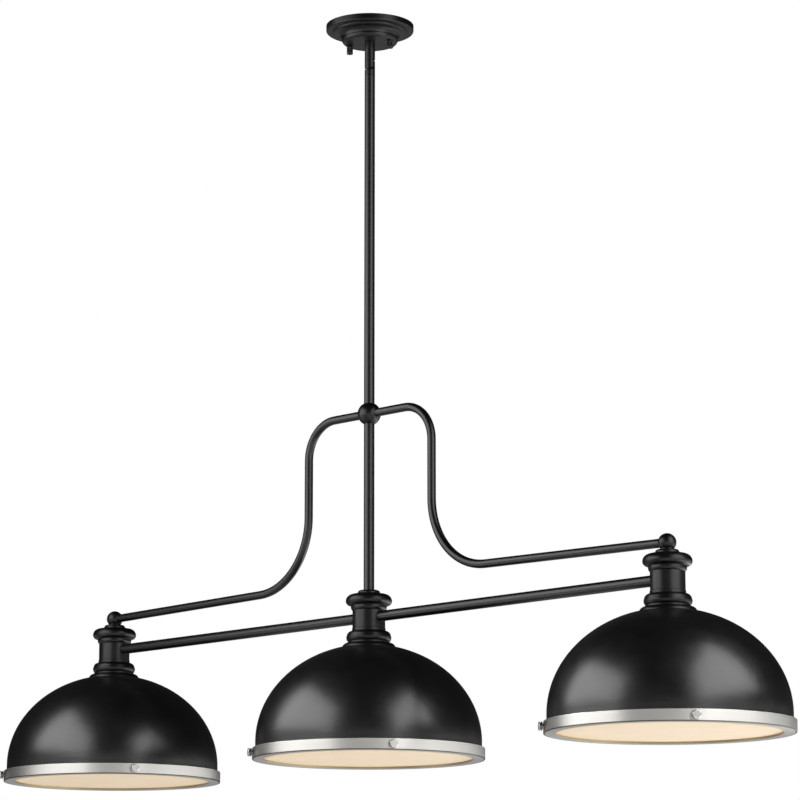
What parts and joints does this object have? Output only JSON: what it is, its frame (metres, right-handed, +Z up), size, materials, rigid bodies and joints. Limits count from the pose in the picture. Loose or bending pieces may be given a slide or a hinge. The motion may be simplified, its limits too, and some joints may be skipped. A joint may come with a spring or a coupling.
{
  "type": "linear island pendant",
  "caption": "Hanging island light: dome shades in a row with metal rims and flat frosted diffusers, under a bent-tube frame on a drop rod with a swivel canopy.",
  "frame": {"origin": "centre of the ceiling canopy on the ceiling face, midway between the two box screws", "axes": "+X along the row of shades, +Y across the row, +Z up into the ceiling"},
  "size_m": [1.499, 0.3505, 1.1241],
  "materials": {
    "black_satin": "satin black powder coat",
    "black_small": "satin black lacquer on turned fittings",
    "shade_skin": "satin black outside, warm off-white inside",
    "nickel_band": "brushed nickel, lines run round the band",
    "nickel_screw": "satin nickel, straight knurl on the head",
    "frosted_lens": "frosted",
    "frosted_lamp": "frosted",
    "zinc_plate": "bright zinc plate",
    "zinc_thread": "zinc plated thread",
    "ground_green": "green lacquer",
    "lamp_holder": "matt black moulding",
    "lead_jacket": "matt black jacket",
    "supply_jacket": "black lead with orange connectors"
  },
  "bodies": {
    "canopy_side": {"mounting_strap": "zinc_plate", "ground_screw": "ground_green", "canopy_studs": "zinc_thread", "canopy": "black_satin", "stem_collar": "black_small", "supply_wiring": "supply_jacket"},
    "cap_left": {"cap_nut_left": "black_small"},
    "cap_right": {"cap_nut_right": "black_small"},
    "swivel": {"swivel_stem": "black_small", "swivel_pin": "black_small", "stem_lock_nut": "zinc_thread", "lead_upper": "lead_jacket", "swivel_leads": "lead_jacket"},
    "frame": {"swivel_knuckle": "black_small", "rod_upper": "black_satin", "rod_coupling": "zinc_thread", "rod_lower": "black_satin", "lead_main": "lead_jacket", "hub_ball": "black_small", "arm_left": "black_satin", "arm_right": "black_satin", "stem_lower": "black_satin", "end_ball_left": "black_small", "end_ball_right": "black_small", "cross_rod_left": "black_satin", "cross_rod_right": "black_satin", "neck_washers": "black_small", "threaded_nipples": "zinc_thread", "shade_nuts": "zinc_thread", "lamp_wiring": "lead_jacket", "neck_left": "black_small", "neck_middle": "black_small", "neck_right": "black_small", "shade_collar_left": "black_small", "shade_collar_middle": "black_small", "shade_collar_right": "black_small", "shade_left": "shade_skin", "shade_middle": "shade_skin", "shade_right": "shade_skin", "socket_left": "lamp_holder", "socket_middle": "lamp_holder", "socket_right": "lamp_holder"},
    "lamp_left": {"bulb_left": "frosted_lamp"},
    "band_left": {"rim_band_left": "nickel_band", "lens_left": "frosted_lens"},
    "screw_left_front": {"thumbscrew_left_front": "nickel_screw"},
    "screw_left_side": {"thumbscrew_left_side": "nickel_screw"},
    "screw_left_back": {"thumbscrew_left_back": "nickel_screw"},
    "lamp_middle": {"bulb_middle": "frosted_lamp"},
    "band_middle": {"rim_band_middle": "nickel_band", "lens_middle": "frosted_lens"},
    "screw_middle_front": {"thumbscrew_middle_front": "nickel_screw"},
    "screw_middle_side": {"thumbscrew_middle_side": "nickel_screw"},
    "screw_middle_back": {"thumbscrew_middle_back": "nickel_screw"},
    "lamp_right": {"bulb_right": "frosted_lamp"},
    "band_right": {"rim_band_right": "nickel_band", "lens_right": "frosted_lens"},
    "screw_right_front": {"thumbscrew_right_front": "nickel_screw"},
    "screw_right_side": {"thumbscrew_right_side": "nickel_screw"},
    "screw_right_back": {"thumbscrew_right_back": "nickel_screw"}
  },
  "joints": [
    {"name": "stem_turn", "type": "hinge", "parent": "canopy_side", "child": "swivel", "pos_m": [0, 0, -0.04], "axis": [0, 0, 1], "range_deg": [-175, 175]},
    {"name": "frame_tilt", "type": "hinge", "parent": "swivel", "child": "frame", "pos_m": [0, 0, -0.06204], "axis": [0, 1, 0], "range_deg": [-45, 45], "deforming": ["swivel_leads"]},
    {"name": "cap_nut_left_unscrew", "type": "slide", "parent": "canopy_side", "child": "cap_left", "axis": [0, 0, -1], "range_m": [0, 0.008]},
    {"name": "cap_nut_right_unscrew", "type": "slide", "parent": "canopy_side", "child": "cap_right", "axis": [0, 0, -1], "range_m": [0, 0.008]},
    {"name": "lamp_left_unscrew", "type": "slide", "parent": "frame", "child": "lamp_left", "axis": [0, 0, -1], "range_m": [0, 0.029]},
    {"name": "band_left_drop", "type": "slide", "parent": "frame", "child": "band_left", "axis": [0, 0, -1], "range_m": [0, 0.12]},
    {"name": "screw_left_front_back_out", "type": "slide", "parent": "band_left", "child": "screw_left_front", "axis": [0.8746, -0.4848, 0], "range_m": [0, 0.004]},
    {"name": "screw_left_side_back_out", "type": "slide", "parent": "band_left", "child": "screw_left_side", "axis": [-0.515, -0.8572, 0], "range_m": [0, 0.004]},
    {"name": "screw_left_back_back_out", "type": "slide", "parent": "band_left", "child": "screw_left_back", "axis": [-0.2588, 0.9659, 0], "range_m": [0, 0.004]},
    {"name": "lamp_middle_unscrew", "type": "slide", "parent": "frame", "child": "lamp_middle", "axis": [0, 0, -1], "range_m": [0, 0.029]},
    {"name": "band_middle_drop", "type": "slide", "parent": "frame", "child": "band_middle", "axis": [0, 0, -1], "range_m": [0, 0.12]},
    {"name": "screw_middle_front_back_out", "type": "slide", "parent": "band_middle", "child": "screw_middle_front", "axis": [0.8387, -0.5446, 0], "range_m": [0, 0.004]},
    {"name": "screw_middle_side_back_out", "type": "slide", "parent": "band_middle", "child": "screw_middle_side", "axis": [-0.5736, -0.8192, 0], "range_m": [0, 0.004]},
    {"name": "screw_middle_back_back_out", "type": "slide", "parent": "band_middle", "child": "screw_middle_back", "axis": [-0.1908, 0.9816, 0], "range_m": [0, 0.004]},
    {"name": "lamp_right_unscrew", "type": "slide", "parent": "frame", "child": "lamp_right", "axis": [0, 0, -1], "range_m": [0, 0.029]},
    {"name": "band_right_drop", "type": "slide", "parent": "frame", "child": "band_right", "axis": [0, 0, -1], "range_m": [0, 0.12]},
    {"name": "screw_right_front_back_out", "type": "slide", "parent": "band_right", "child": "screw_right_front", "axis": [0.7826, -0.6225, 0], "range_m": [0, 0.004]},
    {"name": "screw_right_side_back_out", "type": "slide", "parent": "band_right", "child": "screw_right_side", "axis": [-0.6494, -0.7604, 0], "range_m": [0, 0.004]},
    {"name": "screw_right_back_back_out", "type": "slide", "parent": "band_right", "child": "screw_right_back", "axis": [-0.0958, 0.9954, 0], "range_m": [0, 0.004]}
  ]
}
